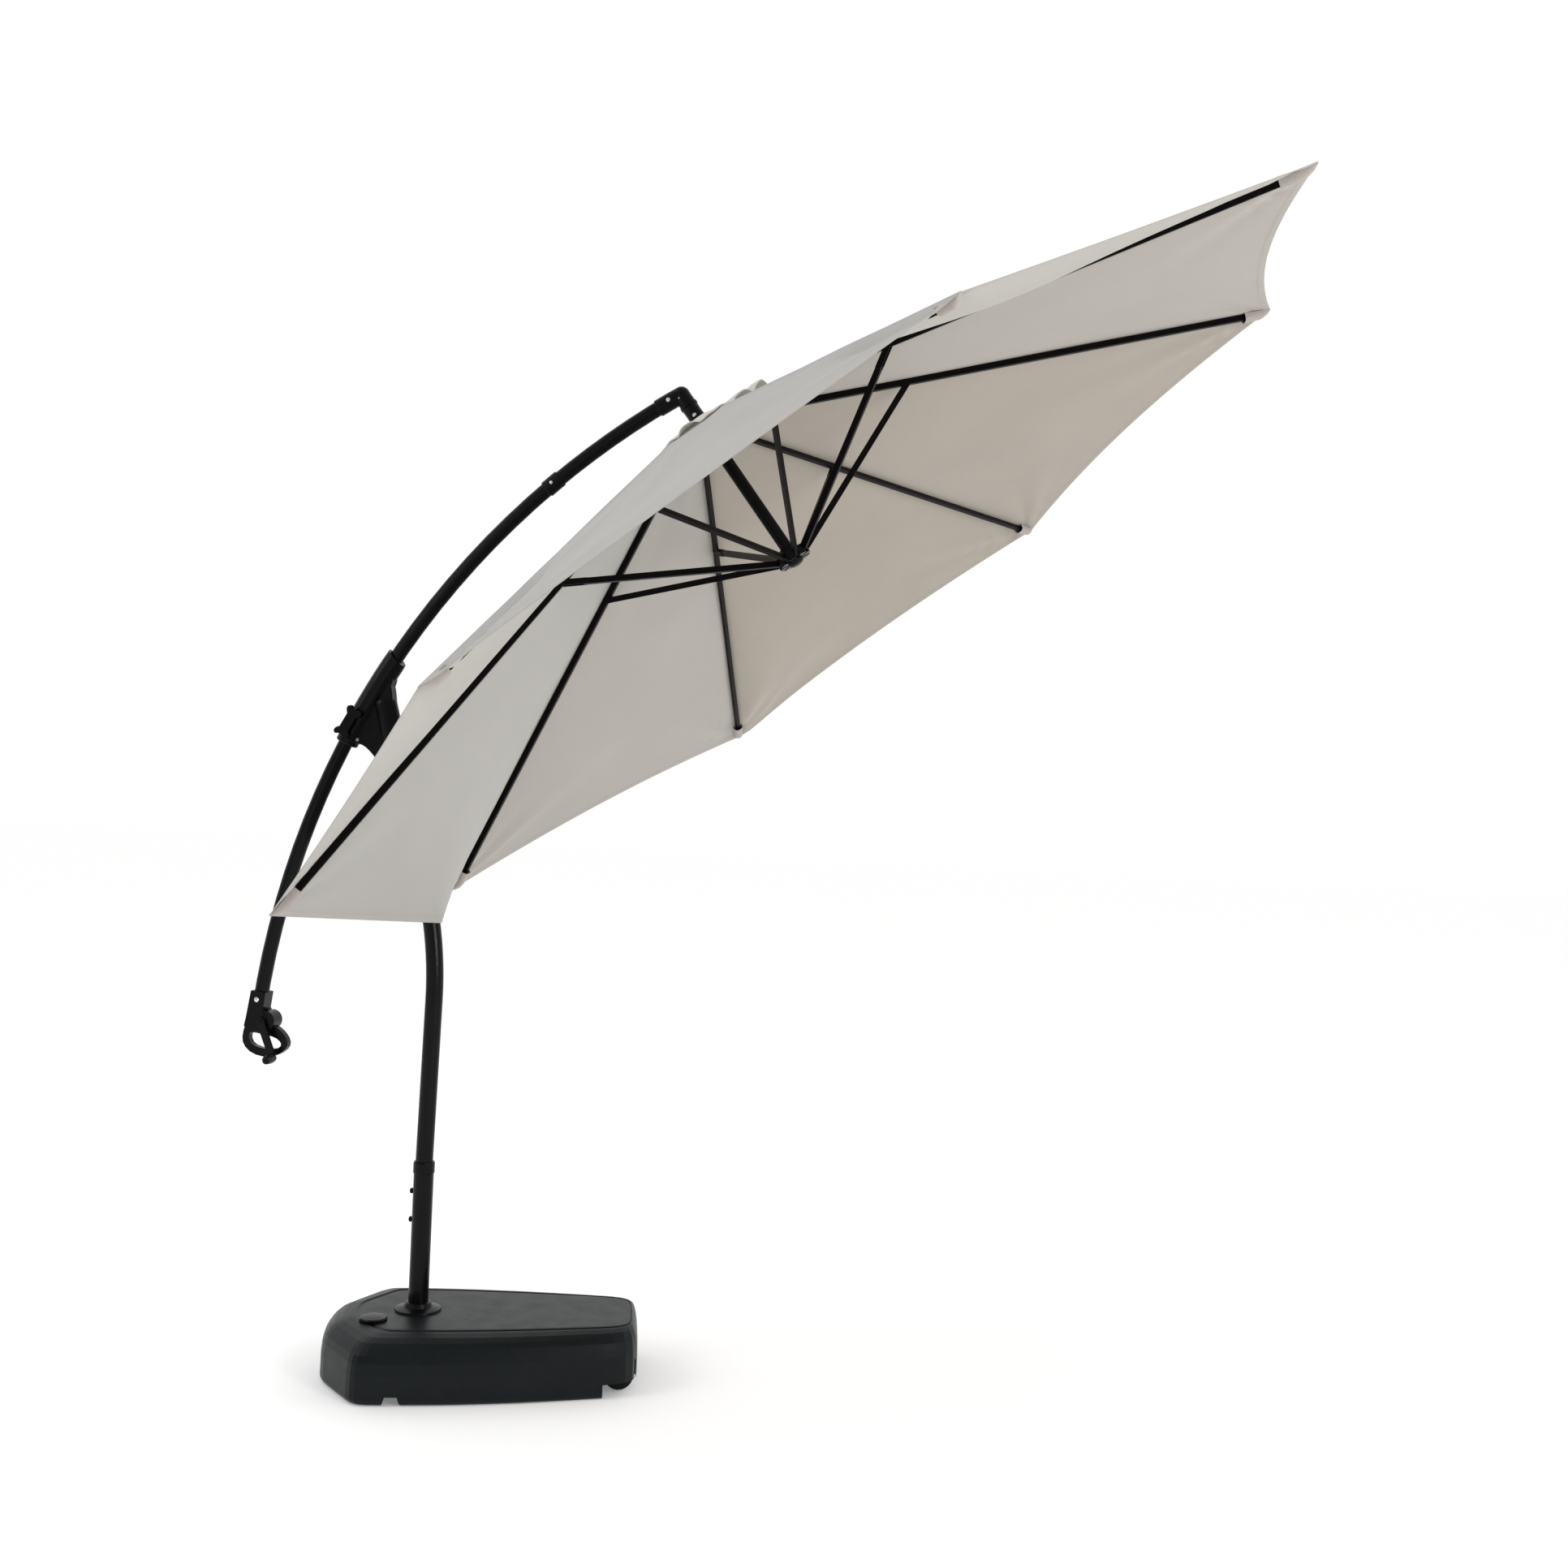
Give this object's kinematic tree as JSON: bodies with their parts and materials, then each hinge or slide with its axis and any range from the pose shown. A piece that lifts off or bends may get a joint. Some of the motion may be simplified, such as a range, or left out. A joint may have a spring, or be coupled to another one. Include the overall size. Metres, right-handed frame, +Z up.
{
  "type": "cantilever parasol",
  "caption": "Cantilever parasol: filled tank base, swivelling mast, curved arm sliding through a lock housing, crank-lifted folding canopy.",
  "frame": {"origin": "on the mast axis, at the ground under the tank", "axes": "+Z up along the lower mast, +X from the mast towards the canopy's overhang, +Y to the side; the arm lies in Y = 0"},
  "size_m": [2.424, 2.64, 2.7092],
  "materials": {
    "tank": "satin moulded",
    "sand": "loose sand",
    "frame": "satin powder coat",
    "plastic": "moulded",
    "steel": "zinc",
    "rib_paint": "satin powder coat",
    "cover": "woven polyester",
    "cord": "braided",
    "wheel": "moulded"
  },
  "bodies": {
    "base": {"tank": "tank", "sand_ballast": "sand", "lower_mast": "frame", "mast_collar": "plastic", "mast_socket_ring": "plastic", "wheel_axle": "steel"},
    "filler_cap": {"filler_cap": "plastic"},
    "wheel_1": {"wheel_1": "wheel"},
    "wheel_2": {"wheel_2": "wheel"},
    "clamp_screw_upper": {"clamp_screw_upper": "plastic"},
    "clamp_screw_lower": {"clamp_screw_lower": "plastic"},
    "mast": {"upper_mast": "frame", "housing_front": "plastic", "housing_rear": "plastic", "housing_screw": "steel"},
    "lock_knob": {"lock_knob": "plastic"},
    "arm": {"arm_lower_tube": "frame", "arm_upper_tube": "frame", "arm_coupling": "plastic", "coupling_rivet": "steel", "elbow": "plastic", "elbow_rivet_arm": "steel", "elbow_rivet_pole": "steel", "pulley_pin": "steel", "centre_pole": "frame", "top_hub": "plastic", "vent_cap": "cover", "grip_handle": "plastic", "grip_rivet": "steel", "lift_cord": "cord"},
    "crank": {"crank_arm": "frame", "cord_spool": "steel"},
    "crank_knob": {"crank_knob": "plastic"},
    "pulley": {"cord_pulley": "plastic"},
    "runner": {"runner": "plastic", "lift_cord_drop": "cord"},
    "rib_1": {"rib_1": "rib_paint", "cover_1": "cover"},
    "strut_1": {"strut_1": "rib_paint"},
    "rib_2": {"rib_2": "rib_paint", "cover_2": "cover"},
    "strut_2": {"strut_2": "rib_paint"},
    "rib_3": {"rib_3": "rib_paint", "cover_3": "cover"},
    "strut_3": {"strut_3": "rib_paint"},
    "rib_4": {"rib_4": "rib_paint", "cover_4": "cover"},
    "strut_4": {"strut_4": "rib_paint"},
    "rib_5": {"rib_5": "rib_paint", "cover_5": "cover"},
    "strut_5": {"strut_5": "rib_paint"},
    "rib_6": {"rib_6": "rib_paint", "cover_6": "cover"},
    "strut_6": {"strut_6": "rib_paint"},
    "rib_7": {"rib_7": "rib_paint", "cover_7": "cover"},
    "strut_7": {"strut_7": "rib_paint"},
    "rib_8": {"rib_8": "rib_paint", "cover_8": "cover"},
    "strut_8": {"strut_8": "rib_paint"}
  },
  "joints": [
    {"name": "cap_turn", "type": "hinge", "parent": "base", "child": "filler_cap", "pos_m": [-0.068, -0.11, 0.15], "axis": [0, 0, 1], "continuous": true},
    {"name": "wheel_1_roll", "type": "hinge", "parent": "base", "child": "wheel_1", "pos_m": [0.50173, 0.00942, 0.0375], "axis": [-0.2672, 0.9636, 0], "continuous": true},
    {"name": "wheel_2_roll", "type": "hinge", "parent": "base", "child": "wheel_2", "pos_m": [0.43492, 0.25033, 0.0375], "axis": [-0.2672, 0.9636, 0], "continuous": true},
    {"name": "clamp_upper_turn", "type": "hinge", "parent": "base", "child": "clamp_screw_upper", "pos_m": [-0.0213, 0, 0.434], "axis": [-1, 0, 0], "continuous": true},
    {"name": "clamp_lower_turn", "type": "hinge", "parent": "base", "child": "clamp_screw_lower", "pos_m": [-0.0213, 0, 0.3655], "axis": [-1, 0, 0], "continuous": true},
    {"name": "mast_swivel", "type": "hinge", "parent": "base", "child": "mast", "pos_m": [0, 0, 0.45], "axis": [0, 0, 1], "continuous": true},
    {"name": "lock_knob_turn", "type": "hinge", "parent": "mast", "child": "lock_knob", "pos_m": [-0.2248, 0, 1.557], "axis": [0, -1, 0], "continuous": true},
    {"name": "arm_slide", "type": "hinge", "parent": "mast", "child": "arm", "pos_m": [1.5585, 0, 0.6158], "axis": [0, 1, 0], "range_deg": [0, 17.5]},
    {"name": "crank_turn", "type": "hinge", "parent": "arm", "child": "crank", "pos_m": [-0.42286, 0, 0.82157], "axis": [0, -1, 0], "range_deg": [0, 2880]},
    {"name": "crank_knob_spin", "type": "hinge", "parent": "crank", "child": "crank_knob", "pos_m": [-0.3865, -0.0332, 0.7336], "axis": [0, -1, 0], "continuous": true},
    {"name": "pulley_turn", "type": "hinge", "parent": "arm", "child": "pulley", "pos_m": [0.55396, 0, 2.35132], "axis": [0, 1, 0], "range_deg": [0, 4425]},
    {"name": "runner_drop", "type": "slide", "parent": "arm", "child": "runner", "axis": [0.6004, 0, -0.7997], "range_m": [0, 0.6025], "deforming": ["lift_cord_drop"]},
    {"name": "rib_1_fold", "type": "hinge", "parent": "arm", "child": "rib_1", "pos_m": [0.63426, -0.01263, 2.30814], "axis": [0.306, 0.9239, 0.2298], "range_deg": [0, 61.09], "deforming": ["cover_1"]},
    {"name": "strut_1_fold", "type": "hinge", "parent": "rib_1", "child": "strut_1", "pos_m": [1.06989, -0.18875, 2.43611], "axis": [0.306, 0.9239, 0.2298], "range_deg": [-115.82, 0]},
    {"name": "rib_2_fold", "type": "hinge", "parent": "arm", "child": "rib_2", "pos_m": [0.63426, 0.01263, 2.30814], "axis": [-0.306, 0.9239, -0.2298], "range_deg": [0, 61.14], "deforming": ["cover_2"]},
    {"name": "strut_2_fold", "type": "hinge", "parent": "rib_2", "child": "strut_2", "pos_m": [1.06989, 0.18875, 2.43611], "axis": [-0.306, 0.9239, -0.2298], "range_deg": [-115.82, 0]},
    {"name": "rib_3_fold", "type": "hinge", "parent": "arm", "child": "rib_3", "pos_m": [0.61998, 0.03049, 2.29742], "axis": [-0.7388, 0.3827, -0.5547], "range_deg": [0, 61.14], "deforming": ["cover_3"]},
    {"name": "strut_3_fold", "type": "hinge", "parent": "rib_3", "child": "strut_3", "pos_m": [0.85643, 0.45569, 2.27583], "axis": [-0.7388, 0.3827, -0.5547], "range_deg": [-115.82, 0]},
    {"name": "rib_4_fold", "type": "hinge", "parent": "arm", "child": "rib_4", "pos_m": [0.59978, 0.03049, 2.28225], "axis": [-0.7388, -0.3827, -0.5547], "range_deg": [0, 61.14], "deforming": ["cover_4"]},
    {"name": "strut_4_fold", "type": "hinge", "parent": "rib_4", "child": "strut_4", "pos_m": [0.55454, 0.45569, 2.04917], "axis": [-0.7388, -0.3827, -0.5547], "range_deg": [-115.82, 0]},
    {"name": "rib_5_fold", "type": "hinge", "parent": "arm", "child": "rib_5", "pos_m": [0.5855, 0.01263, 2.27153], "axis": [-0.306, -0.9239, -0.2298], "range_deg": [0, 61.14], "deforming": ["cover_5"]},
    {"name": "strut_5_fold", "type": "hinge", "parent": "rib_5", "child": "strut_5", "pos_m": [0.34107, 0.18875, 1.8889], "axis": [-0.306, -0.9239, -0.2298], "range_deg": [-115.82, 0]},
    {"name": "rib_6_fold", "type": "hinge", "parent": "arm", "child": "rib_6", "pos_m": [0.5855, -0.01263, 2.27153], "axis": [0.306, -0.9239, 0.2298], "range_deg": [0, 61.14], "deforming": ["cover_6"]},
    {"name": "strut_6_fold", "type": "hinge", "parent": "rib_6", "child": "strut_6", "pos_m": [0.34107, -0.18875, 1.8889], "axis": [0.306, -0.9239, 0.2298], "range_deg": [-115.82, 0]},
    {"name": "rib_7_fold", "type": "hinge", "parent": "arm", "child": "rib_7", "pos_m": [0.59978, -0.03049, 2.28225], "axis": [0.7388, -0.3827, 0.5547], "range_deg": [0, 61.14], "deforming": ["cover_7"]},
    {"name": "strut_7_fold", "type": "hinge", "parent": "rib_7", "child": "strut_7", "pos_m": [0.55454, -0.45569, 2.04917], "axis": [0.7388, -0.3827, 0.5547], "range_deg": [-115.82, 0]},
    {"name": "rib_8_fold", "type": "hinge", "parent": "arm", "child": "rib_8", "pos_m": [0.61998, -0.03049, 2.29742], "axis": [0.7388, 0.3827, 0.5547], "range_deg": [0, 61.14], "deforming": ["cover_8"]},
    {"name": "strut_8_fold", "type": "hinge", "parent": "rib_8", "child": "strut_8", "pos_m": [0.85643, -0.45569, 2.27583], "axis": [0.7388, 0.3827, 0.5547], "range_deg": [-115.82, 0]}
  ],
  "couplings": [
    {"joint": "strut_1_fold", "follows": "rib_1_fold", "ratio": -1.8942},
    {"joint": "rib_2_fold", "follows": "rib_1_fold", "ratio": 1},
    {"joint": "strut_2_fold", "follows": "rib_1_fold", "ratio": -1.8942},
    {"joint": "rib_3_fold", "follows": "rib_1_fold", "ratio": 1},
    {"joint": "strut_3_fold", "follows": "rib_1_fold", "ratio": -1.8942},
    {"joint": "rib_4_fold", "follows": "rib_1_fold", "ratio": 1},
    {"joint": "strut_4_fold", "follows": "rib_1_fold", "ratio": -1.8942},
    {"joint": "rib_5_fold", "follows": "rib_1_fold", "ratio": 1},
    {"joint": "strut_5_fold", "follows": "rib_1_fold", "ratio": -1.8942},
    {"joint": "rib_6_fold", "follows": "rib_1_fold", "ratio": 1},
    {"joint": "strut_6_fold", "follows": "rib_1_fold", "ratio": -1.8942},
    {"joint": "rib_7_fold", "follows": "rib_1_fold", "ratio": 1},
    {"joint": "strut_7_fold", "follows": "rib_1_fold", "ratio": -1.8942},
    {"joint": "rib_8_fold", "follows": "rib_1_fold", "ratio": 1},
    {"joint": "strut_8_fold", "follows": "rib_1_fold", "ratio": -1.8942},
    {"joint": "runner_drop", "follows": "rib_1_fold", "m_per_rad": 0.56484},
    {"joint": "crank_turn", "follows": "rib_1_fold", "ratio": 47.141},
    {"joint": "pulley_turn", "follows": "rib_1_fold", "ratio": 72.416}
  ]
}
